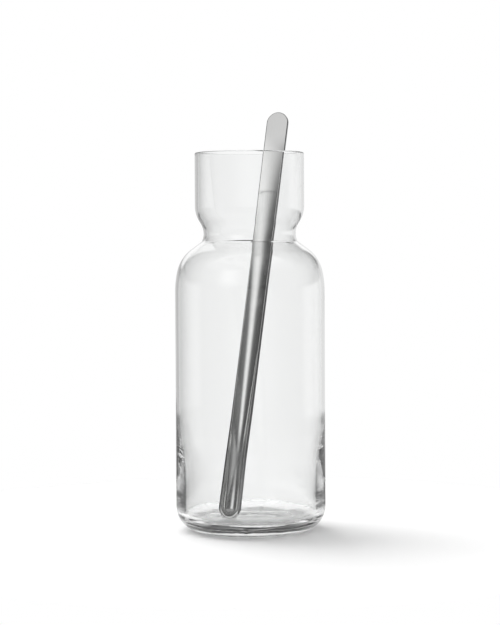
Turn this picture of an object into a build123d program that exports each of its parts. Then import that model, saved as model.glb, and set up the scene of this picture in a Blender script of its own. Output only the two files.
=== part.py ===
from build123d import *
from math import acos, atan2, cos, degrees, hypot, radians, sin, sqrt, tan
import os

# A blown glass carafe with a narrow waist under its mouth, and the long steel mixing spoon
# that stands in it. The spoon's closed end stands on the glass floor, near the front on the
# left, and its flat handle leans back and to the right against the inside of the rim.
#
# Millimetres. The origin is on the carafe's axis in the plane that it stands on, +Z is up,
# and -Y points at whoever stands in front of it.

# Glass: the outside
body_diameter = 100.0
carafe_height = 252.5
mouth_diameter = 72.9
mouth_swell_radius = 19.5
waist_depth = 54.0
waist_inset = 5.7
waist_round = 12.7
waist_run_angle = 23.7
crease_radius = 1.2
heel_radius = 16.0

# Glass: the shoulder, which eases out of the wall in a wide arc, rounds over in a tighter one
# and runs up to the crease as a cone. The shares are of its whole step inwards.
shoulder_ease_share = 3.575
shoulder_round_share = 1.361
shoulder_ease_angle = 12.3
shoulder_cone_angle = 53.7

# Glass: the wall, the floor and the underside
wall_thickness = 2.0
base_wall_thickness = 6.2
base_wall_height = 23.0
thinning_height = 80.0
floor_thickness = 10.0
inner_heel_radius = 4.5
stand_ring_width = 3.0
punt_height = 1.6
punt_edge_radius = 1.0

# Spoon: one sheet of steel, flat at the top and pressed into a trough towards its closed end
spoon_length = 277.5
spoon_width = 15.4
spoon_thickness = 2.0

# Spoon: how it stands in the glass, its bearings counted from straight back to the right
spoon_floor_clearance = 0.3
spoon_rim_clearance = 0.45
spoon_foot_share = 0.475
spoon_foot_bearing = 217.9
spoon_rim_bearing = 33.0
spoon_turn = 22.0

# The trough: (share of the length between the two round ends, counted from the closed one,
# share of a right angle by which the sheet's edges turn up there)
trough_shares = (
    (0.00, 1.00),
    (0.05, 0.95),
    (0.10, 0.87),
    (0.20, 0.67),
    (0.30, 0.51),
    (0.40, 0.42),
    (0.53, 0.31),
    (0.69, 0.17),
    (0.82, 0.07),
    (0.93, 0.00),
)

body_radius = body_diameter / 2
mouth_radius = mouth_diameter / 2
rim_height = carafe_height - wall_thickness / 2


def polar(centre, radius, angle):
    """Return the point of a circle at an angle in degrees, counted from the first axis."""
    return (centre[0] + radius * cos(radians(angle)), centre[1] + radius * sin(radians(angle)))


# The waist is an arc, which another arc joins to the straight mouth above it
waist_centre = (mouth_radius - waist_inset + waist_round, carafe_height - waist_depth)
swell_angle = degrees(acos(1 - waist_inset / (waist_round + mouth_swell_radius)))
swell_centre = polar(waist_centre, waist_round + mouth_swell_radius, 180 - swell_angle)

# The shoulder ends in the crease, where the cone cuts into the waist's arc
crease = polar(waist_centre, waist_round, 180 + waist_run_angle)
shoulder_step = body_radius - crease[0]
ease_radius = shoulder_ease_share * shoulder_step
round_radius = shoulder_round_share * shoulder_step
cone_rise = (-sin(radians(shoulder_cone_angle)), cos(radians(shoulder_cone_angle)))
round_start = polar((0, 0), 1, shoulder_ease_angle)
round_end = polar((0, 0), 1, shoulder_cone_angle)
ease_step = ease_radius * (1 - round_start[0])
round_step = round_radius * (round_start[0] - round_end[0])
cone_length = (shoulder_step - ease_step - round_step) / -cone_rise[0]
shoulder_height = (
    crease[1]
    - cone_length * cone_rise[1]
    - round_radius * (round_end[1] - round_start[1])
    - ease_radius * round_start[1]
)
ease_centre = (body_radius - ease_radius, shoulder_height)
round_centre = polar(ease_centre, ease_radius - round_radius, shoulder_ease_angle)


def glass_side(inset):
    """Draw the glass from its straight wall up to the rim, as the line that lies inset
    within the outside, and return its lower end and the corner in its crease."""
    wall = body_radius - inset
    wall_foot = (wall, thinning_height)
    cone_foot = polar(round_centre, round_radius - inset, shoulder_cone_angle)
    bow = waist_round + inset
    across = (cone_foot[0] - waist_centre[0], cone_foot[1] - waist_centre[1])
    along = across[0] * cone_rise[0] + across[1] * cone_rise[1]
    run = sqrt(along**2 - across[0] ** 2 - across[1] ** 2 + bow**2) - along
    corner = (cone_foot[0] + run * cone_rise[0], cone_foot[1] + run * cone_rise[1])
    corner_angle = 180 + degrees(atan2(waist_centre[1] - corner[1], waist_centre[0] - corner[0]))

    Line(wall_foot, (wall, shoulder_height))
    CenterArc(ease_centre, ease_radius - inset, 0, shoulder_ease_angle)
    round_sweep = shoulder_cone_angle - shoulder_ease_angle
    CenterArc(round_centre, round_radius - inset, shoulder_ease_angle, round_sweep)
    Line(cone_foot, corner)
    CenterArc(waist_centre, bow, corner_angle, 180 - swell_angle - corner_angle)
    CenterArc(swell_centre, mouth_swell_radius - inset, 0, -swell_angle)
    Line((mouth_radius - inset, swell_centre[1]), (mouth_radius - inset, rim_height))
    return wall_foot, corner


# The wall thins upwards from its thick foot in two long arcs, which bend one way and back
base_radius = body_radius - base_wall_thickness
thinning_rise = thinning_height - base_wall_height
thinning_lean = 2 * atan2(base_wall_thickness - wall_thickness, thinning_rise)
thinning_radius = thinning_rise / (2 * sin(thinning_lean))
thinning_angle = degrees(thinning_lean)
thin_centre = (body_radius - wall_thickness - thinning_radius, thinning_height)
thick_centre = (base_radius + thinning_radius, base_wall_height)
inner_heel_centre = (base_radius - inner_heel_radius, floor_thickness + inner_heel_radius)
stand_radius = body_radius - heel_radius
punt_radius = stand_radius - stand_ring_width

with BuildPart() as glass_carafe:
    with BuildSketch(Plane.XZ):
        with BuildLine():
            outer_foot, outer_crease = glass_side(0)
            inner_foot, inner_crease = glass_side(wall_thickness)
            CenterArc((mouth_radius - wall_thickness / 2, rim_height), wall_thickness / 2, 0, 180)
            Line((body_radius, heel_radius), outer_foot)
            CenterArc((stand_radius, heel_radius), heel_radius, -90, 90)
            Line((punt_radius, 0), (stand_radius, 0))
            TangentArc((0, punt_height), (punt_radius, 0), tangent=(1, 0))
            Line((0, punt_height), (0, floor_thickness))
            Line((0, floor_thickness), (inner_heel_centre[0], floor_thickness))
            CenterArc(inner_heel_centre, inner_heel_radius, -90, 90)
            Line((base_radius, inner_heel_centre[1]), (base_radius, base_wall_height))
            CenterArc(thick_centre, thinning_radius, 180, -thinning_angle)
            CenterArc(thin_centre, thinning_radius, -thinning_angle, thinning_angle)
        wall_section = make_face()
        corners = wall_section.vertices()
        fillet(corners.sort_by_distance((*outer_crease, 0))[0], crease_radius)
        corners = vertices()
        fillet(corners.sort_by_distance((*inner_crease, 0))[0], crease_radius + wall_thickness)
        corners = vertices()
        fillet(corners.sort_by_distance((punt_radius, 0, 0))[0], punt_edge_radius)
    revolve(axis=Axis.Z)

# The spoon's closed end is a quarter of a ball, whose centre hangs over its place on the floor
half_width = spoon_width / 2
foot_reach = spoon_foot_share * (body_radius - wall_thickness)
foot = Vector(
    foot_reach * sin(radians(spoon_foot_bearing)),
    foot_reach * cos(radians(spoon_foot_bearing)),
    floor_thickness + spoon_floor_clearance + half_width,
)


def rim_reach(side):
    """Return how far out the flat handle's middle gets at its bearing before the back corner
    on that side, 1 for right and -1 for left, is a clearance away from the rim."""
    bearing = (sin(radians(spoon_rim_bearing)), cos(radians(spoon_rim_bearing)))
    turn = (sin(radians(spoon_turn)), cos(radians(spoon_turn)))
    corner = (
        side * half_width * turn[1] + spoon_thickness * turn[0],
        -side * half_width * turn[0] + spoon_thickness * turn[1],
    )
    along = corner[0] * bearing[0] + corner[1] * bearing[1]
    limit = mouth_radius - wall_thickness - spoon_rim_clearance
    return -along + sqrt(along**2 - corner[0] ** 2 - corner[1] ** 2 + limit**2)


lean_reach = min(rim_reach(1), rim_reach(-1))
lean_place = Vector(
    lean_reach * sin(radians(spoon_rim_bearing)),
    lean_reach * cos(radians(spoon_rim_bearing)),
    rim_height,
)
spoon_up = (lean_place - foot).normalized()
spoon_right = Vector(cos(radians(spoon_turn)), -sin(radians(spoon_turn)), 0)
spoon_back = spoon_up.cross(spoon_right).normalized()
foot_plane = Plane(origin=foot, x_dir=spoon_back.cross(spoon_up), z_dir=spoon_up)
end_distance = spoon_length - spoon_width
flat_distance = trough_shares[-1][0] * end_distance


def trough_section(edge_angle):
    """Draw the bent sheet across the spoon, its two front edges in the sketch's first axis."""
    inner_half = half_width - spoon_thickness * sin(edge_angle)
    depth = inner_half * tan(edge_angle / 2)
    back = spoon_thickness * cos(edge_angle)
    if edge_angle == 0:
        Line((-inner_half, 0), (inner_half, 0))
        Line((-half_width, back), (half_width, back))
    else:
        ThreePointArc((-inner_half, 0), (0, depth), (inner_half, 0))
        ThreePointArc((-half_width, back), (0, depth + spoon_thickness), (half_width, back))
    Line((inner_half, 0), (half_width, back))
    Line((-inner_half, 0), (-half_width, back))


with BuildPart() as mixing_spoon:
    for distance_share, edge_share in trough_shares:
        with BuildSketch(foot_plane.offset(distance_share * end_distance)):
            with BuildLine():
                trough_section(radians(90 * edge_share))
            make_face()
    loft()

    # The dished end: half of the deepest section, turned about the line square to the mouth
    # of the trough
    with BuildSketch(foot_plane):
        with BuildLine():
            CenterArc((0, 0), half_width, 0, 90)
            CenterArc((0, 0), half_width - spoon_thickness, 0, 90)
            Line((half_width - spoon_thickness, 0), (half_width, 0))
            Line((0, half_width - spoon_thickness), (0, half_width))
        make_face()
    revolve(axis=Axis(foot_plane.origin, foot_plane.y_dir), revolution_arc=180)

    # The flat handle and its round top
    with BuildSketch(foot_plane.offset(flat_distance)):
        Rectangle(spoon_width, spoon_thickness, align=(Align.CENTER, Align.MIN))
    extrude(amount=end_distance - flat_distance)
    top_plane = foot_plane.offset(end_distance)
    with BuildSketch(top_plane):
        Rectangle(half_width, spoon_thickness, align=(Align.MIN, Align.MIN))
    revolve(axis=Axis(top_plane.origin, -top_plane.y_dir), revolution_arc=180)

os.makedirs("parts", exist_ok=True)

glass_carafe.part.label = "glass_carafe"
export_step(glass_carafe.part, "parts/glass_carafe.step")

mixing_spoon.part.label = "mixing_spoon"
export_step(mixing_spoon.part, "parts/mixing_spoon.step")

spoon_lean = degrees(atan2(hypot(spoon_up.X, spoon_up.Y), spoon_up.Z))
print(f"glass {glass_carafe.part.volume / 1000:.1f} ml, spoon {mixing_spoon.part.volume / 1000:.2f} ml")
print(f"spoon leans {spoon_lean:.2f} degrees, its foot stands at {foot.X:.2f}, {foot.Y:.2f}")
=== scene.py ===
"""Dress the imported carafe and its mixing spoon, and set them on a pale table.

Everything is in metres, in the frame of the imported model: the origin is on the carafe's axis
in the plane that it stands on, +Z is up and -Y points at whoever stands in front of it.
"""

import logging
import math
from dataclasses import dataclass, field
from enum import Enum
from typing import Any, Iterable, Sequence, Union

import bmesh
import bpy
from mathutils import Matrix, Vector


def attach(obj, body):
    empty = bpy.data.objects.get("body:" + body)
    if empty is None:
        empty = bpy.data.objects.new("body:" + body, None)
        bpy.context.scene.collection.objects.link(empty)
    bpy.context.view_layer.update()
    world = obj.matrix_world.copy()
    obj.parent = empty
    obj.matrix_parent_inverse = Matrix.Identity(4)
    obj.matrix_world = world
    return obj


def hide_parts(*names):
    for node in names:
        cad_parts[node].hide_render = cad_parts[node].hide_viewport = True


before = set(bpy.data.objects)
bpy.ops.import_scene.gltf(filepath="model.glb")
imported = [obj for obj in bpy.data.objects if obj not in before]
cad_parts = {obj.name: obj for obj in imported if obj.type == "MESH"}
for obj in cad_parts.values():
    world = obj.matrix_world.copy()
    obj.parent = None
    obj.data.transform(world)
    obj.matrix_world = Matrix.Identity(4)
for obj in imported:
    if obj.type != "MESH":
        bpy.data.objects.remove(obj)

log = logging.getLogger("carafe")
Pair = tuple[float, float]
Triple = tuple[float, float, float]
Point = Pair
Value = Union[float, "Signal"]

WELD_DISTANCE = 1e-7
NEUTRAL_WEIGHT = 50


# Shader maths
class Signal:
    """A number that a node gives, which can stand in a Python expression."""

    def __init__(self, bench: "Bench", socket: bpy.types.NodeSocket) -> None:
        """Wrap an output socket of one of the bench's nodes."""
        self.bench = bench
        self.socket = socket

    def _maths(self, operation: str, first: Value, second: Value) -> "Signal":
        """Add a Math node and return what it gives.

        Args:
            operation: The node's operation.
            first: Its first number.
            second: Its second number.

        Returns:
            The result.
        """
        node = self.bench.node("ShaderNodeMath", {"operation": operation}, {0: first, 1: second})
        return Signal(self.bench, node.outputs[0])

    def __add__(self, other: Value) -> "Signal":
        """Return self + other."""
        return self._maths("ADD", self, other)

    def __radd__(self, other: Value) -> "Signal":
        """Return other + self."""
        return self._maths("ADD", other, self)

    def __sub__(self, other: Value) -> "Signal":
        """Return self - other."""
        return self._maths("SUBTRACT", self, other)

    def __rsub__(self, other: Value) -> "Signal":
        """Return other - self."""
        return self._maths("SUBTRACT", other, self)

    def __mul__(self, other: Value) -> "Signal":
        """Return self * other."""
        return self._maths("MULTIPLY", self, other)

    def __rmul__(self, other: Value) -> "Signal":
        """Return other * self."""
        return self._maths("MULTIPLY", other, self)

    def larger(self, other: Value) -> "Signal":
        """Return the larger of self and other."""
        return self._maths("MAXIMUM", self, other)

    def counted(self) -> "Signal":
        """Return 1 where self, a whole number, is 1 or more, and 0 where it is 0."""
        return self._maths("GREATER_THAN", self, 0.5)

    def size(self) -> "Signal":
        """Return self without its sign."""
        return self._maths("ABSOLUTE", self, 0.0)

    def ramp(self, low: float, high: float) -> "Signal":
        """Return a smooth step.

        Args:
            low: Where the step starts, at 0.
            high: Where it ends, at 1.

        Returns:
            The step, which falls where high is less than low.
        """
        ends = (low, high, 0.0, 1.0) if low < high else (high, low, 1.0, 0.0)
        node = self.bench.node(
            "ShaderNodeMapRange",
            {"interpolation_type": "SMOOTHSTEP", "clamp": True},
            {"Value": self, 1: ends[0], 2: ends[1], 3: ends[2], 4: ends[3]},
        )
        return Signal(self.bench, node.outputs[0])

    def ramp_degrees(self, ends: Pair) -> "Signal":
        """Return a smooth step between two angles in degrees, where self is in radians."""
        return self.ramp(*(math.radians(angle) for angle in ends))

    def between(self, low: Value, high: Value) -> "Signal":
        """Return low where self is 0, high where it is 1, and their mix in between."""
        return low * (1.0 - self) + high * self


class Bench:
    """Lays out the nodes of one material or of the world."""

    def __init__(self, tree: bpy.types.NodeTree) -> None:
        """Clear the tree and work on it."""
        self.tree = tree
        tree.nodes.clear()

    def node(
        self,
        kind: str,
        settings: dict[str, Any] | None = None,
        inputs: dict[str | int, Any] | None = None,
    ) -> bpy.types.Node:
        """Add a node.

        Args:
            kind: The node's type.
            settings: Its properties, and "stops" for a colour ramp's places and colours.
            inputs: Values or links by the sockets' names or numbers.

        Returns:
            The node.
        """
        made = self.tree.nodes.new(kind)
        for name, value in (settings or {}).items():
            if name == "stops":
                self._set_stops(made.color_ramp, value)
            else:
                setattr(made, name, value)
        for name, value in (inputs or {}).items():
            if isinstance(value, Signal):
                value = value.socket
            if isinstance(value, bpy.types.NodeSocket):
                self.tree.links.new(value, made.inputs[name])
            else:
                made.inputs[name].default_value = value
        return made

    @staticmethod
    def _set_stops(ramp: bpy.types.ColorRamp, stops: Sequence[tuple[float, float]]) -> None:
        """Give a ramp grey stops.

        Args:
            ramp: The ramp.
            stops: Places and levels, in order.
        """
        while len(ramp.elements) < len(stops):
            ramp.elements.new(1.0)
        for element, (place, level) in zip(ramp.elements, stops):
            element.position = place
            element.color = (level, level, level, 1.0)

    def signal(self, node: bpy.types.Node, output: str | int = 0) -> Signal:
        """Return one output of a node as a number."""
        return Signal(self, node.outputs[output])

    def noise(
        self, place: bpy.types.NodeSocket, scale: float, detail: float, distortion: float = 0.0
    ) -> Signal:
        """Return a noise pattern, from 0 to 1."""
        inputs = {"Vector": place, "Scale": scale, "Detail": detail, "Distortion": distortion}
        return self.signal(self.node("ShaderNodeTexNoise", {}, inputs))

    def stretched(self, place: bpy.types.NodeSocket, scale: Triple) -> bpy.types.NodeSocket:
        """Return a place scaled along each axis, for a pattern that is longer one way."""
        return self.node("ShaderNodeMapping", {}, {"Vector": place, "Scale": scale}).outputs[0]

    def blend(
        self, share: Signal, first: Triple | bpy.types.NodeSocket, second: Triple
    ) -> bpy.types.NodeSocket:
        """Return a colour that goes from first to second."""
        start = first if isinstance(first, bpy.types.NodeSocket) else (*first, 1.0)
        inputs = {"Factor": share, 6: start, 7: (*second, 1.0)}
        return self.node("ShaderNodeMix", {"data_type": "RGBA"}, inputs).outputs[2]

    def bump(self, relief: Signal) -> bpy.types.NodeSocket:
        """Return the normals of a relief in metres."""
        inputs = {"Strength": 1.0, "Distance": 1.0, "Height": relief}
        return self.node("ShaderNodeBump", {}, inputs).outputs[0]

    def show(self, surface: bpy.types.Node, output: str = "ShaderNodeOutputMaterial") -> None:
        """Make a shader what the tree gives."""
        self.node(output, {}, {"Surface": surface.outputs[0]})


def start_material(name: str) -> tuple[bpy.types.Material, Bench, bpy.types.NodeSocket]:
    """Start a material.

    Args:
        name: Its name.

    Returns:
        The material, its bench, and the place on the object for its patterns.
    """
    made = bpy.data.materials.new(name)
    made.use_nodes = True
    bench = Bench(made.node_tree)
    return made, bench, bench.node("ShaderNodeTexCoord").outputs["Object"]


# Finishes
@dataclass(frozen=True)
class GlassFinish:
    """Clear blown glass: fire-polished, with slow waves and a few cooling marks low down."""

    tint: Triple = (0.985, 0.99, 0.988)
    streak_tint: Triple = (0.995, 0.998, 0.997)
    index: float = 1.5
    roughness: float = 0.004
    haze: float = 0.012
    haze_from: Pair = (0.5, 0.8)
    smear_scale: float = 18.0
    smear_detail: float = 4.0
    wave_stretch: Triple = (1.0, 1.0, 0.35)
    wave_scale: float = 34.0
    wave_detail: float = 1.0
    wave_depth: float = 0.00012
    mark_stretch: Triple = (0.6, 0.6, 2.4)
    mark_scale: float = 95.0
    mark_detail: float = 2.0
    mark_distortion: float = 0.6
    mark_depth: float = 0.00010
    mark_heights: Pair = (0.045, 0.012)

    def material(self) -> bpy.types.Material:
        """Return the material."""
        made, bench, place = start_material("clear_glass")
        drawn = bench.stretched(place, self.wave_stretch)
        wave = bench.noise(drawn, self.wave_scale, self.wave_detail)
        pooled = bench.stretched(place, self.mark_stretch)
        mark = bench.noise(pooled, self.mark_scale, self.mark_detail, self.mark_distortion)
        height = bench.signal(bench.node("ShaderNodeSeparateXYZ", {}, {0: place}), "Z")
        low_down = height.ramp(*self.mark_heights)
        smear = bench.noise(place, self.smear_scale, self.smear_detail)
        relief = wave * self.wave_depth + mark * low_down * self.mark_depth
        shader = bench.node(
            "ShaderNodeBsdfPrincipled",
            {},
            {
                "Base Color": bench.blend(smear, self.tint, self.streak_tint),
                "Roughness": self.roughness + smear.ramp(*self.haze_from) * self.haze,
                "IOR": self.index,
                "Transmission Weight": 1.0,
                "Normal": bench.bump(relief),
            },
        )
        bench.show(shader)
        return made


@dataclass(frozen=True)
class SteelFinish:
    """Polished stainless sheet with hair-fine buffing marks along it, rougher long edges that
    painted shade darkens, and smudges.
    """

    colour: Triple = (0.70, 0.70, 0.695)
    worn_colour: Triple = (0.66, 0.66, 0.655)
    # Painted shade: the dark colour that the long edges blend into, standing in for dark
    # reflections there.
    painted_shade_edge_colour: Triple = (0.3, 0.3, 0.3)
    edge_roughness: float = 0.25
    edge_line: Pair = (0.0058, 0.0070)
    edge_fade: float = 0.0006
    reach: float = 0.26
    roughness: float = 0.05
    mark_roughness: float = 0.05
    mark_depth: float = 0.000004
    mark_width: float = 0.0004
    mark_length: float = 0.03
    mark_detail: float = 3.0
    smudge_scale: float = 60.0
    smudge_detail: float = 5.0
    smudge_from: Pair = (0.45, 0.75)

    def material(self, lie: Matrix) -> bpy.types.Material:
        """Return the material.

        Args:
            lie: The move from the spoon's own frame to the shared one.

        Returns:
            The material.
        """
        made, bench, place = start_material("polished_steel")
        back = lie.inverted()
        straight = bench.node(
            "ShaderNodeMapping",
            {"vector_type": "POINT"},
            {
                "Vector": place,
                "Rotation": tuple(back.to_euler("XYZ")),
                "Location": tuple(back.to_translation()),
            },
        ).outputs[0]
        own = bench.node("ShaderNodeSeparateXYZ", {}, {0: straight})
        along = bench.signal(own, "Z").ramp(0.0, self.reach)
        # Near the long edges the colour darkens as painted shade, and the roughness rises as a
        # duller edge.
        beyond = bench.signal(own, "X").size() - along.between(*self.edge_line)
        edge = beyond.ramp(0.0, self.edge_fade)
        thin, long = 1.0 / self.mark_width, 1.0 / self.mark_length
        marks = bench.noise(bench.stretched(straight, (thin, thin, long)), 1.0, self.mark_detail)
        smudges = bench.noise(place, self.smudge_scale, self.smudge_detail).ramp(*self.smudge_from)
        colour = bench.blend(smudges, self.colour, self.worn_colour)
        roughness = self.roughness + marks * self.mark_roughness + edge * self.edge_roughness
        shader = bench.node(
            "ShaderNodeBsdfPrincipled",
            {},
            {
                "Base Color": bench.blend(edge, colour, self.painted_shade_edge_colour),
                "Metallic": 1.0,
                "Roughness": roughness,
                "Normal": bench.bump(marks * self.mark_depth),
            },
        )
        bench.show(shader)
        return made


@dataclass(frozen=True)
class TableFinish:
    """The plain matt white sheet that the carafe stands on."""

    albedo: float = 0.93
    lift: float = 0.07
    fade: Pair = (0.07, 0.15)

    def material(self) -> bpy.types.Material:
        """Return the material, which fades out in glass and metal, away from the object."""
        made, bench, place = start_material("white_table")
        colour = (self.albedo, self.albedo, self.albedo, 1.0)
        matt = bench.node("ShaderNodeBsdfDiffuse", {}, {"Color": colour})
        rays = bench.node("ShaderNodeLightPath")
        direct = bench.signal(rays, "Is Camera Ray")
        seen = direct.larger(bench.signal(rays, "Is Glossy Ray"))
        seen = seen.larger(bench.signal(rays, "Is Transmission Ray"))
        glow = bench.node("ShaderNodeEmission", {}, {"Strength": seen * self.lift})
        both = bench.node("ShaderNodeAddShader", {}, {0: matt.outputs[0], 1: glow.outputs[0]})
        far = bench.node("ShaderNodeVectorMath", {"operation": "LENGTH"}, {0: place})
        away = bench.signal(far, "Value").ramp(*self.fade) * (1.0 - direct)
        clear = bench.node("ShaderNodeBsdfTransparent")
        faded = bench.node(
            "ShaderNodeMixShader", {}, {0: away, 1: both.outputs[0], 2: clear.outputs[0]}
        )
        bench.show(faded)
        return made


# Drawing sections
def polar(centre: Point, radius: float, angle: float) -> Point:
    """Return a circle's point at an angle in degrees."""
    turn = math.radians(angle)
    return centre[0] + radius * math.cos(turn), centre[1] + radius * math.sin(turn)


@dataclass(frozen=True)
class Run:
    """A straight piece of a section."""

    start: Point
    end: Point
    step: float = 0.004

    def reverse(self) -> "Run":
        """Return the same piece from its other end."""
        return Run(self.end, self.start, self.step)


@dataclass(frozen=True)
class Bend:
    """A round piece of a section, between two angles in degrees."""

    centre: Point
    radius: float
    start_angle: float
    end_angle: float
    step: float = 3.0

    def reverse(self) -> "Bend":
        """Return the same piece from its other end."""
        return Bend(self.centre, self.radius, self.end_angle, self.start_angle, self.step)


class SectionPen:
    """Draws a section in the XZ plane by extruding and spinning the last vertex."""

    def __init__(self, shape: bmesh.types.BMesh, start: Point) -> None:
        """Put the first vertex down."""
        self.shape = shape
        self.tip = shape.verts.new((start[0], 0.0, start[1]))

    def follow(self, pieces: Iterable[Run | Bend]) -> None:
        """Draw pieces one after the other, each from where the last one ended."""
        for piece in pieces:
            if isinstance(piece, Run):
                self._go(piece)
            else:
                self._turn(piece)

    def _go(self, run: Run) -> None:
        """Draw a straight piece."""
        start = self.tip.co.copy()
        way = Vector((run.end[0], 0.0, run.end[1])) - start
        steps = max(1, round(way.length / run.step))
        for step in range(1, steps + 1):
            made = bmesh.ops.extrude_vert_indiv(self.shape, verts=[self.tip])
            self.tip = made["verts"][0]
            self.tip.co = start + way * (step / steps)

    def _turn(self, bend: Bend) -> None:
        """Draw a round piece."""
        sweep = bend.end_angle - bend.start_angle
        made = bmesh.ops.spin(
            self.shape,
            geom=[self.tip],
            cent=(bend.centre[0], 0.0, bend.centre[1]),
            axis=(0.0, -1.0, 0.0),
            angle=math.radians(sweep),
            steps=max(2, math.ceil(abs(sweep) / bend.step)),
            use_merge=False,
            use_duplicate=False,
        )
        self.tip = next(item for item in made["geom_last"] if isinstance(item, bmesh.types.BMVert))


def place_in_scene(shape: bmesh.types.BMesh, name: str) -> bpy.types.Object:
    """Turn a finished shape into an object at the origin.

    Args:
        shape: The shape, which is freed.
        name: The object's name.

    Returns:
        The object, smooth all over.
    """
    mesh = bpy.data.meshes.new(name)
    for face in shape.faces:
        face.smooth = True
    shape.to_mesh(mesh)
    shape.free()
    made = bpy.data.objects.new(name, mesh)
    bpy.context.scene.collection.objects.link(made)
    return made


def even_shading(piece: bpy.types.Object) -> None:
    """Weigh a piece's shading by the size of its faces."""
    even = piece.modifiers.new("even_shading", "WEIGHTED_NORMAL")
    even.weight = NEUTRAL_WEIGHT


# The carafe
@dataclass
class Carafe:
    """The blown glass, one wall from the hollow under its floor to its rim and back inside."""

    body_radius: float = 0.050
    height: float = 0.2525
    mouth_radius: float = 0.03645
    mouth_swell_radius: float = 0.0195
    waist_depth: float = 0.054
    waist_inset: float = 0.0057
    waist_round: float = 0.0127
    waist_run_angle: float = 23.7
    crease_radius: float = 0.0012
    heel_radius: float = 0.016
    shoulder_ease_share: float = 3.575
    shoulder_round_share: float = 1.361
    shoulder_ease_angle: float = 12.3
    shoulder_cone_angle: float = 53.7
    wall: float = 0.002
    floor: float = 0.010
    inner_heel_radius: float = 0.0045
    base_wall: float = 0.0062
    base_wall_height: float = 0.023
    thinning_height: float = 0.080
    stand_ring_width: float = 0.003
    punt_height: float = 0.0016
    punt_edge_radius: float = 0.001
    steps_round: int = 256
    finish: GlassFinish = field(default_factory=GlassFinish)

    @property
    def rim_height(self) -> float:
        """Return the height of the middle of the rounded rim."""
        return self.height - self.wall / 2

    @property
    def waist_centre(self) -> Point:
        """Return the middle of the waist's arc, out in the air beside it."""
        across = self.mouth_radius - self.waist_inset + self.waist_round
        return across, self.height - self.waist_depth

    @property
    def swell_angle(self) -> float:
        """Return how far the arcs of the waist and the mouth turn at their joint."""
        return math.degrees(
            math.acos(1 - self.waist_inset / (self.waist_round + self.mouth_swell_radius))
        )

    def _cone_crossing(self, inset: float) -> Point:
        """Return where the shoulder's cone meets the waist's arc.

        Args:
            inset: How far both lie inside the outside of the glass.

        Returns:
            The place.
        """
        _, _, round_centre, round_radius = self._shoulder
        foot = polar(round_centre, round_radius - inset, self.shoulder_cone_angle)
        bow = self.waist_round + inset
        angle = math.radians(self.shoulder_cone_angle)
        rise = (-math.sin(angle), math.cos(angle))
        across = (foot[0] - self.waist_centre[0], foot[1] - self.waist_centre[1])
        along = across[0] * rise[0] + across[1] * rise[1]
        run = math.sqrt(along**2 - across[0] ** 2 - across[1] ** 2 + bow**2) - along
        return foot[0] + run * rise[0], foot[1] + run * rise[1]

    @property
    def _shoulder(self) -> tuple[Point, float, Point, float]:
        """Return the middles and radii of the shoulder's easing arc and of its round one."""
        crease = polar(self.waist_centre, self.waist_round, 180 + self.waist_run_angle)
        step = self.body_radius - crease[0]
        ease_radius = self.shoulder_ease_share * step
        round_radius = self.shoulder_round_share * step
        start = polar((0, 0), 1, self.shoulder_ease_angle)
        end = polar((0, 0), 1, self.shoulder_cone_angle)
        inwards = step - ease_radius * (1 - start[0]) - round_radius * (start[0] - end[0])
        height = (
            crease[1]
            - inwards / end[1] * end[0]
            - round_radius * (end[1] - start[1])
            - ease_radius * start[1]
        )
        ease_centre = (self.body_radius - ease_radius, height)
        round_centre = polar(ease_centre, ease_radius - round_radius, self.shoulder_ease_angle)
        return ease_centre, ease_radius, round_centre, round_radius

    def side(self, inset: float, foot_height: float) -> list[Run | Bend]:
        """List the pieces of the wall's line from its straight foot up to the rim.

        Args:
            inset: How far the line lies inside the outside of the glass.
            foot_height: Where the straight wall starts.

        Returns:
            The pieces, from below.
        """
        ease_centre, ease_radius, round_centre, round_radius = self._shoulder
        wall = self.body_radius - inset
        ease, cone = self.shoulder_ease_angle, self.shoulder_cone_angle
        fillet_centre = self._cone_crossing(-self.crease_radius)
        fillet = self.crease_radius + inset
        waist = self.waist_centre
        turn = math.atan2(fillet_centre[1] - waist[1], fillet_centre[0] - waist[0])
        turn = math.degrees(turn) % 360
        swell_reach = self.waist_round + self.mouth_swell_radius
        swell_centre = polar(waist, swell_reach, 180 - self.swell_angle)
        cone_top = polar(fillet_centre, fillet, 180 + cone)
        mouth = self.mouth_radius - inset
        return [
            Run((wall, foot_height), (wall, ease_centre[1])),
            Bend(ease_centre, ease_radius - inset, 0, ease, step=1.2),
            Bend(round_centre, round_radius - inset, ease, cone, step=2.5),
            Run(polar(round_centre, round_radius - inset, cone), cone_top, step=0.0015),
            Bend(fillet_centre, fillet, 180 + cone, turn, step=5.0),
            Bend(waist, self.waist_round + inset, turn, 180 - self.swell_angle),
            Bend(swell_centre, self.mouth_swell_radius - inset, -self.swell_angle, 0),
            Run((mouth, swell_centre[1]), (mouth, self.rim_height)),
        ]

    def underside(self) -> list[Run | Bend]:
        """List the pieces from the middle of the hollow under the floor to the straight wall."""
        stand = self.body_radius - self.heel_radius
        ring = stand - self.stand_ring_width
        hollow = (ring**2 + self.punt_height**2) / (2 * self.punt_height)
        middle = (0.0, self.punt_height - hollow)
        edge = self.punt_edge_radius
        edge_middle = (math.sqrt((hollow + edge) ** 2 - (edge - middle[1]) ** 2), edge)
        lean = math.degrees(math.atan2(edge_middle[0], edge - middle[1]))
        return [
            Bend(middle, hollow, 90, 90 - lean, step=0.5),
            Bend(edge_middle, edge, -90 - lean, -90),
            Run((edge_middle[0], 0.0), (stand, 0.0), step=0.001),
            Bend((stand, self.heel_radius), self.heel_radius, -90, 0, step=2.5),
        ]

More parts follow.
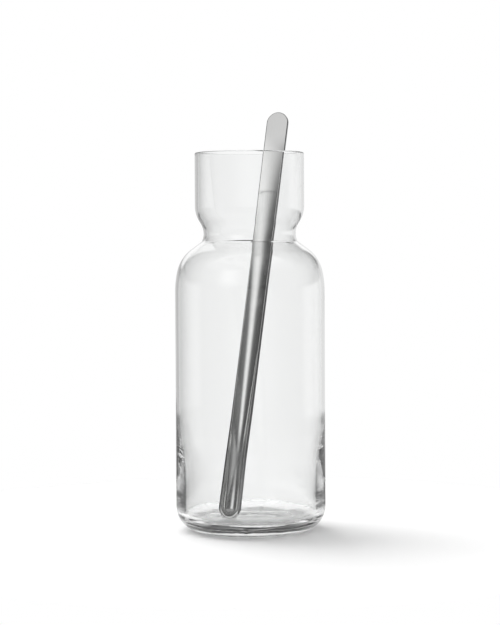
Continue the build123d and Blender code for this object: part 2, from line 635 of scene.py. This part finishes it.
    def inner_floor(self) -> list[Run | Bend]:
        """List the pieces from the thin inner wall down to the middle of the floor."""
        inner = self.body_radius - self.wall
        base = self.body_radius - self.base_wall
        rise = self.thinning_height - self.base_wall_height
        lean = 2 * math.atan2(inner - base, rise)
        sweep = rise / (2 * math.sin(lean))
        lean = math.degrees(lean)
        heel = (base - self.inner_heel_radius, self.floor + self.inner_heel_radius)
        return [
            Bend((inner - sweep, self.thinning_height), sweep, 0, -lean, step=1.0),
            Bend((base + sweep, self.base_wall_height), sweep, 180 - lean, 180, step=1.0),
            Run((base, self.base_wall_height), (base, heel[1])),
            Bend(heel, self.inner_heel_radius, 0, -90),
            Run((heel[0], self.floor), (0.0, self.floor)),
        ]

    def build(self) -> bpy.types.Object:
        """Draw the wall's section, spin it and close its two poles.

        Returns:
            The glass.
        """
        shape = bmesh.new()
        pen = SectionPen(shape, (0.0, self.punt_height))
        pen.follow(self.underside())
        pen.follow(self.side(0.0, self.heel_radius))
        lip = (self.mouth_radius - self.wall / 2, self.rim_height)
        pen.follow([Bend(lip, self.wall / 2, 0, 180, step=15.0)])
        inner = self.side(self.wall, self.thinning_height)
        pen.follow([piece.reverse() for piece in reversed(inner)])
        pen.follow(self.inner_floor())
        bmesh.ops.spin(
            shape,
            geom=shape.verts[:] + shape.edges[:],
            cent=(0.0, 0.0, 0.0),
            axis=(0.0, 0.0, 1.0),
            angle=math.tau,
            steps=self.steps_round,
            use_merge=True,
            use_duplicate=False,
        )
        bmesh.ops.remove_doubles(shape, verts=shape.verts[:], dist=WELD_DISTANCE)
        bmesh.ops.recalc_face_normals(shape, faces=shape.faces[:])
        return place_in_scene(shape, "carafe_glass")

    def dress(self, glass: bpy.types.Object) -> None:
        """Give the glass its finish and its place in the model."""
        glass.data.materials.append(self.finish.material())
        even_shading(glass)
        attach(glass, "carafe")
        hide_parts("glass_carafe")


# The spoon
class Side(Enum):
    """A side of the spoon, as its sign along the spoon's own right."""

    LEFT = -1
    RIGHT = 1


@dataclass
class MixingSpoon:
    """One long sheet of steel, flat at the top and pressed into a trough to its closed end."""

    glass: Carafe
    length: float = 0.2775
    width: float = 0.0154
    thickness: float = 0.002
    floor_clearance: float = 0.0003
    rim_clearance: float = 0.00045
    foot_share: float = 0.475
    foot_bearing: float = 217.9
    rim_bearing: float = 33.0
    turn: float = 22.0
    edge_round: float = 0.00085
    edge_segments: int = 4
    sharp_angle: float = 50.0
    flattest_angle: float = 0.02
    weld_distance: float = 2e-6
    stations: int = 96
    steps_across: int = 28
    trough_shares: tuple[tuple[float, float], ...] = (
        (0.00, 1.00),
        (0.05, 0.95),
        (0.10, 0.87),
        (0.20, 0.67),
        (0.30, 0.51),
        (0.40, 0.42),
        (0.53, 0.31),
        (0.69, 0.17),
        (0.82, 0.08),
        (0.92, 0.035),
        (0.98, 0.00),
        (1.00, 0.00),
    )
    finish: SteelFinish = field(default_factory=SteelFinish)

    @property
    def half_width(self) -> float:
        """Return half of the sheet's width, which is also the radius of its ends."""
        return self.width / 2

    @property
    def end_distance(self) -> float:
        """Return how far apart the middles of the two round ends are."""
        return self.length - self.width

    def rim_reach(self, side: Side) -> float:
        """Return how far out the handle's middle may get before one back corner nears the rim.

        Args:
            side: The corner's side.

        Returns:
            The distance from the carafe's axis.
        """
        bearing, turn = math.radians(self.rim_bearing), math.radians(self.turn)
        corner = Vector(
            (
                side.value * self.half_width * math.cos(turn) + self.thickness * math.sin(turn),
                -side.value * self.half_width * math.sin(turn) + self.thickness * math.cos(turn),
            )
        )
        along = corner.dot(Vector((math.sin(bearing), math.cos(bearing))))
        limit = self.glass.mouth_radius - self.glass.wall - self.rim_clearance
        return -along + math.sqrt(along**2 - corner.length_squared + limit**2)

    def lie(self) -> Matrix:
        """Return where the spoon lies: its right, its back, its up and its closed end's middle."""
        foot_reach = self.foot_share * (self.glass.body_radius - self.glass.wall)
        foot = Vector(
            (
                foot_reach * math.sin(math.radians(self.foot_bearing)),
                foot_reach * math.cos(math.radians(self.foot_bearing)),
                self.glass.floor + self.floor_clearance + self.half_width,
            )
        )
        reach = min(self.rim_reach(side) for side in Side)
        rim_place = Vector(
            (
                reach * math.sin(math.radians(self.rim_bearing)),
                reach * math.cos(math.radians(self.rim_bearing)),
                self.glass.rim_height,
            )
        )
        up = (rim_place - foot).normalized()
        level = Vector((math.cos(math.radians(self.turn)), -math.sin(math.radians(self.turn)), 0))
        back = up.cross(level).normalized()
        turned = Matrix((back.cross(up), back, up)).transposed().to_4x4()
        return Matrix.Translation(foot) @ turned

    def edge_angle(self, share: float) -> float:
        """Return how far the sheet's edges turn up at a share of the length, in radians.

        Args:
            share: The place, counted from the closed end.

        Returns:
            The angle, on a smooth line through the named ones.
        """
        places = self.trough_shares
        index = max(i for i, (at, _) in enumerate(places[:-1]) if at <= share)

        def slope(i: int) -> float:
            """Return the line's slope at a named place."""
            low, high = places[max(i - 1, 0)], places[min(i + 1, len(places) - 1)]
            return (high[1] - low[1]) / (high[0] - low[0])

        (start, first), (end, last) = places[index], places[index + 1]
        span = end - start
        t = (share - start) / span
        first_slope = slope(index)
        last_slope = 0.0 if last == 0.0 else slope(index + 1)
        if first == 0.0:
            first_slope = 0.0
        bent = (
            (2 * t**3 - 3 * t**2 + 1) * first
            + (t**3 - 2 * t**2 + t) * span * first_slope
            + (3 * t**2 - 2 * t**3) * last
            + (t**3 - t**2) * span * last_slope
        )
        return math.radians(90 * bent)

    def _draw_across(self, shape: bmesh.types.BMesh, share: float) -> list[bmesh.types.BMEdge]:
        """Draw the front of the sheet across the spoon.

        Args:
            shape: The shape to draw in.
            share: Where, as a share of the length.

        Returns:
            The edges, from left to right.
        """
        angle = max(self.edge_angle(share), math.radians(self.flattest_angle))
        half = self.half_width - self.thickness * math.sin(angle)
        radius = half / math.sin(angle)
        height = share * self.end_distance
        before = set(shape.edges)
        start = shape.verts.new((-half, 0.0, height))
        bmesh.ops.spin(
            shape,
            geom=[start],
            cent=(0.0, -radius * math.cos(angle), height),
            axis=(0.0, 0.0, -1.0),
            angle=2 * angle,
            steps=self.steps_across,
            use_merge=False,
            use_duplicate=False,
        )
        return [edge for edge in shape.edges if edge not in before]

    @staticmethod
    def _right_half(edges: Iterable[bmesh.types.BMEdge]) -> list[Any]:
        """Return the edges that lie right of the spoon's middle, with their vertices."""
        kept = [edge for edge in edges if min(v.co.x for v in edge.verts) > -WELD_DISTANCE]
        return kept + list({vert for edge in kept for vert in edge.verts})

    def build(self) -> bpy.types.Object:
        """Bridge the lines across the sheet, close its ends, thicken it and round its edges.

        Returns:
            The spoon.
        """
        shape = bmesh.new()
        lines = [self._draw_across(shape, i / self.stations) for i in range(self.stations + 1)]
        for low, high in zip(lines, lines[1:]):
            bmesh.ops.bridge_loops(shape, edges=low + high)
        for edges, height, way in ((lines[0], 0.0, 1.0), (lines[-1], self.end_distance, -1.0)):
            bmesh.ops.spin(
                shape,
                geom=self._right_half(edges),
                cent=(0.0, 0.0, height),
                axis=(0.0, way, 0.0),
                angle=math.pi,
                steps=2 * self.steps_across,
                use_merge=False,
                use_duplicate=False,
            )
        bmesh.ops.remove_doubles(shape, verts=shape.verts[:], dist=self.weld_distance)
        bmesh.ops.recalc_face_normals(shape, faces=shape.faces[:])
        if sum(face.normal.y * face.calc_area() for face in shape.faces) < 0:
            bmesh.ops.reverse_faces(shape, faces=shape.faces[:])
        bmesh.ops.solidify(shape, geom=shape.faces[:], thickness=-self.thickness)
        bmesh.ops.recalc_face_normals(shape, faces=shape.faces[:])
        least = math.radians(self.sharp_angle)
        sharp = [edge for edge in shape.edges if edge.calc_face_angle(0.0) > least]
        bmesh.ops.bevel(
            shape,
            geom=sharp,
            offset=self.edge_round,
            segments=self.edge_segments,
            profile=0.5,
            affect="EDGES",
            material=-1,
            clamp_overlap=True,
        )
        bmesh.ops.transform(shape, matrix=self.lie(), verts=shape.verts[:])
        return place_in_scene(shape, "spoon_steel")

    def dress(self, spoon: bpy.types.Object) -> None:
        """Give the spoon its finish and its place in the model."""
        spoon.data.materials.append(self.finish.material(self.lie()))
        even_shading(spoon)
        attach(spoon, "spoon")
        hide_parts("mixing_spoon")


# The studio
@dataclass(frozen=True)
class Outlook:
    """The direction in which a ray leaves the scene, as the world's nodes read it.

    The bearing and height are in radians, and the bearing is 0 straight behind the object and
    positive to its right. The turn is the bearing as 0 to 1, from behind the camera.
    """

    bench: Bench
    way: bpy.types.NodeSocket
    bearing: Signal
    height: Signal
    turn: Signal

    @classmethod
    def read(cls, bench: Bench) -> "Outlook":
        """Read the direction on a world's bench."""
        way = bench.node("ShaderNodeTexCoord").outputs["Generated"]
        parts = bench.node("ShaderNodeSeparateXYZ", {}, {0: way})
        across = {0: parts.outputs["X"], 1: parts.outputs["Y"]}
        bearing = bench.signal(bench.node("ShaderNodeMath", {"operation": "ARCTAN2"}, across))
        rise = {0: parts.outputs["Z"]}
        height = bench.signal(bench.node("ShaderNodeMath", {"operation": "ARCSINE"}, rise))
        return cls(bench, way, bearing, height, bearing * (1 / math.tau) + 0.5)


@dataclass(frozen=True)
class Round:
    """How bright the studio is all round at one height.

    The stops are bearings in degrees, each with its level, in order.
    """

    stops: tuple[Pair, ...]
    top_level: float = 2.0

    def level(self, outlook: Outlook) -> Signal:
        """Return the level in a direction."""
        stops = [((angle + 180) / 360, level / self.top_level) for angle, level in self.stops]
        ramp = outlook.bench.node("ShaderNodeValToRGB", {"stops": stops}, {"Fac": outlook.turn})
        return outlook.bench.signal(ramp) * self.top_level


@dataclass
class Studio:
    """The table, the panels and dark cards round it, and the camera."""

    table_radius: float = 0.27
    table_sides: int = 96
    table: TableFinish = field(default_factory=TableFinish)
    camera_place: Triple = (0.0, -1.26, 0.197)
    camera_pitch: float = -2.33
    camera_roll: float = 0.29
    camera_clip: Pair = (0.01, 20.0)
    focal_pixels: float = 1885.0
    picture_height: float = 625.0
    sensor: float = 36.0
    bounces: int = 32
    transmission_bounces: int = 20
    glossy_bounces: int = 24
    ambient: float = 0.62
    key_level: float = 3.4
    key_direction: Pair = (-45.0, 52.0)
    key_edge: Pair = (32.5, 19.5)
    gloom: float = 0.15
    overhead: float = 0.45
    overhead_behind: float = 0.04
    overhead_sides: Pair = (75.0, 105.0)
    table_depth: Pair = (-9.5, -12.0)
    table_edge: Pair = (-8.5, -5.5)
    middle_heights: Pair = (2.5, 5.0)
    high_heights: Pair = (5.0, 13.0)
    high_top: Pair = (36.0, 25.0)
    roof_heights: Pair = (45.0, 65.0)
    backdrop: Round = Round(
        (
            (-180, 1.0),
            (-100, 0.97),
            (-60, 0.87),
            (-45, 0.87),
            (-30, 0.87),
            (-14, 0.81),
            (-7, 0.93),
            (-3, 1.0),
            (48, 1.0),
            (62, 0.95),
            (100, 0.97),
            (180, 1.0),
        )
    )
    backdrop_top: Pair = (75.0, 60.0)
    behind_top: float = 0.6
    low_panels: Round = Round(
        (
            (-180, 0.5),
            (-165, 0.4),
            (-140, 0.2),
            (-62, 0.06),
            (-50, 0.08),
            (-38, 0.5),
            (-26, 0.5),
            (-20, 0.5),
            (-13, 0.6),
            (-6, 0.8),
            (6, 0.85),
            (15, 0.75),
            (25, 0.72),
            (35, 0.8),
            (60, 1.0),
            (75, 1.1),
            (86, 0.8),
            (95, 0.22),
            (105, 0.15),
            (125, 0.15),
            (145, 0.28),
            (165, 0.5),
            (180, 0.5),
        )
    )
    table_glow: Round = Round(
        (
            (-180, 0.3),
            (-60, 0.1),
            (-45, 0.14),
            (-33, 0.33),
            (-20, 0.42),
            (-12, 0.7),
            (0, 0.9),
            (12, 0.8),
            (30, 0.6),
            (38, 0.45),
            (45, 0.2),
            (55, 0.12),
            (75, 0.15),
            (180, 0.3),
        )
    )
    middle_panels: Round = Round(
        (
            (-180, 0.12),
            (-172, 0.15),
            (-164, 0.25),
            (-157, 0.45),
            (-150, 0.5),
            (-143, 0.5),
            (-136, 0.45),
            (-129, 0.25),
            (-122, 0.15),
            (-115, 0.1),
            (-100, 0.08),
            (-75, 0.08),
            (-58, 0.12),
            (-45, 0.3),
            (-30, 0.36),
            (-20, 0.42),
            (-12, 0.5),
            (-4, 0.8),
            (12, 0.9),
            (22, 0.75),
            (32, 0.65),
            (45, 0.4),
            (60, 0.22),
            (90, 0.2),
            (130, 0.14),
            (165, 0.12),
            (180, 0.12),
        )
    )
    high_panels: Round = Round(
        (
            (-180, 0.2),
            (-174, 0.22),
            (-170, 0.35),
            (-164, 0.7),
            (-157, 1.1),
            (-148, 1.28),
            (-141, 1.22),
            (-136, 0.98),
            (-132, 0.74),
            (-127, 0.42),
            (-122, 0.24),
            (-115, 0.14),
            (-107, 0.1),
            (-90, 0.07),
            (-70, 0.04),
            (-45, 0.1),
            (-20, 0.15),
            (20, 0.2),
            (45, 0.28),
            (90, 0.22),
            (130, 0.14),
            (165, 0.15),
            (180, 0.2),
        )
    )
    screen_level: float = 1.0
    screen_centre: float = -8.0
    screen_edge: Pair = (31.0, 24.0)
    screen_bottom: Pair = (5.0, 10.0)
    screen_top: Pair = (54.0, 46.0)

    def lay_table(self) -> None:
        """Lay the white table top."""
        shape = bmesh.new()
        bmesh.ops.create_circle(
            shape, cap_ends=True, segments=self.table_sides, radius=self.table_radius
        )
        top = place_in_scene(shape, "table_top")
        top.data.materials.append(self.table.material())

    def _soft_light(self, outlook: Outlook) -> Signal:
        """Return the even light on matt surfaces, with its one brighter side."""
        bearing, rise = (math.radians(angle) for angle in self.key_direction)
        level = math.cos(rise)
        key_way = (math.sin(bearing) * level, math.cos(bearing) * level, math.sin(rise))
        facing = outlook.bench.node(
            "ShaderNodeVectorMath", {"operation": "DOT_PRODUCT"}, {0: outlook.way, 1: key_way}
        )
        start, end = (math.cos(math.radians(angle)) for angle in self.key_edge)
        key = outlook.bench.signal(facing, "Value").ramp(start, end)
        return self.ambient + key * self.key_level

    def _screen(self, outlook: Outlook) -> Signal:
        """Return the white screen behind the object."""
        beside = (outlook.bearing - math.radians(self.screen_centre)).size()
        screen = self.screen_level * beside.ramp_degrees(self.screen_edge)
        screen = screen * outlook.height.ramp_degrees(self.screen_bottom)
        return screen * outlook.height.ramp_degrees(self.screen_top)

    def _mirrored_light(self, outlook: Outlook) -> Signal:
        """Return what mirrored rays meet: the table, three rows of panels and the ceiling."""
        height = outlook.height
        aside = outlook.bearing.size().ramp_degrees(self.overhead_sides)
        ceiling = aside.between(self.overhead_behind, self.overhead)
        low = self.low_panels.level(outlook)
        low = height.ramp_degrees(self.table_edge).between(self.gloom, low)
        glow = self.table_glow.level(outlook)
        light = height.ramp_degrees(self.table_depth).between(low, glow)
        middle = self.middle_panels.level(outlook)
        light = height.ramp_degrees(self.middle_heights).between(light, middle)
        high = self.high_panels.level(outlook)
        high = height.ramp_degrees(self.high_top).between(ceiling, high)
        light = height.ramp_degrees(self.high_heights).between(light, high)
        light = height.ramp_degrees(self.roof_heights).between(light, ceiling)
        return light.larger(self._screen(outlook))

    def hang_panels(self) -> None:
        """Make the world.

        The camera sees white. Matt surfaces get an even light with one brighter side, mirrored
        rays the panels of a small studio, and rays that only pass through glass its backdrop.
        """
        world = bpy.data.worlds.new("studio")
        bpy.context.scene.world = world
        world.use_nodes = True
        world.cycles.sampling_method = "NONE"
        bench = Bench(world.node_tree)
        outlook = Outlook.read(bench)
        rays = bench.node("ShaderNodeLightPath")
        seen = bench.signal(rays, "Is Camera Ray")
        lighting = bench.signal(rays, "Diffuse Depth").counted()
        mirrored = bench.signal(rays, "Glossy Depth").counted()
        top = outlook.height.ramp_degrees(self.backdrop_top)
        through = top.between(self.behind_top, self.backdrop.level(outlook))
        shown = mirrored.between(through, self._mirrored_light(outlook))
        unseen = lighting.between(shown, self._soft_light(outlook))
        inputs = {"Color": (1.0, 1.0, 1.0, 1.0), "Strength": seen.between(unseen, 1.0)}
        bench.show(bench.node("ShaderNodeBackground", {}, inputs), "ShaderNodeOutputWorld")

    def place_camera(self) -> None:
        """Set the camera up at the photograph's place."""
        data = bpy.data.cameras.new("camera")
        data.sensor_width = self.sensor
        data.lens = self.sensor * self.focal_pixels / self.picture_height
        data.clip_start, data.clip_end = self.camera_clip
        camera = bpy.data.objects.new("camera", data)
        bpy.context.scene.collection.objects.link(camera)
        pitch = Matrix.Rotation(math.radians(90 + self.camera_pitch), 4, "X")
        roll = Matrix.Rotation(math.radians(-self.camera_roll), 4, "Z")
        camera.matrix_world = Matrix.Translation(self.camera_place) @ pitch @ roll
        bpy.context.scene.camera = camera

    def set_looks(self) -> None:
        """Show colours as they are written, and let light through many walls of glass."""
        scene = bpy.context.scene
        scene.view_settings.view_transform = "Standard"
        scene.cycles.max_bounces = self.bounces
        scene.cycles.transmission_bounces = self.transmission_bounces
        scene.cycles.glossy_bounces = self.glossy_bounces


def main() -> None:
    """Build the studio, the carafe and its spoon, and log how many faces each piece has."""
    logging.basicConfig(level=logging.INFO, format="%(name)s: %(message)s")
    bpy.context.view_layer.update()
    studio = Studio()
    studio.place_camera()
    studio.set_looks()
    studio.lay_table()
    studio.hang_panels()
    carafe = Carafe()
    spoon = MixingSpoon(carafe)
    for part in (carafe, spoon):
        piece = part.build()
        part.dress(piece)
        log.info("%s: %d faces", piece.name, len(piece.data.polygons))
    bpy.context.view_layer.update()


if __name__ == "__main__":
    main()
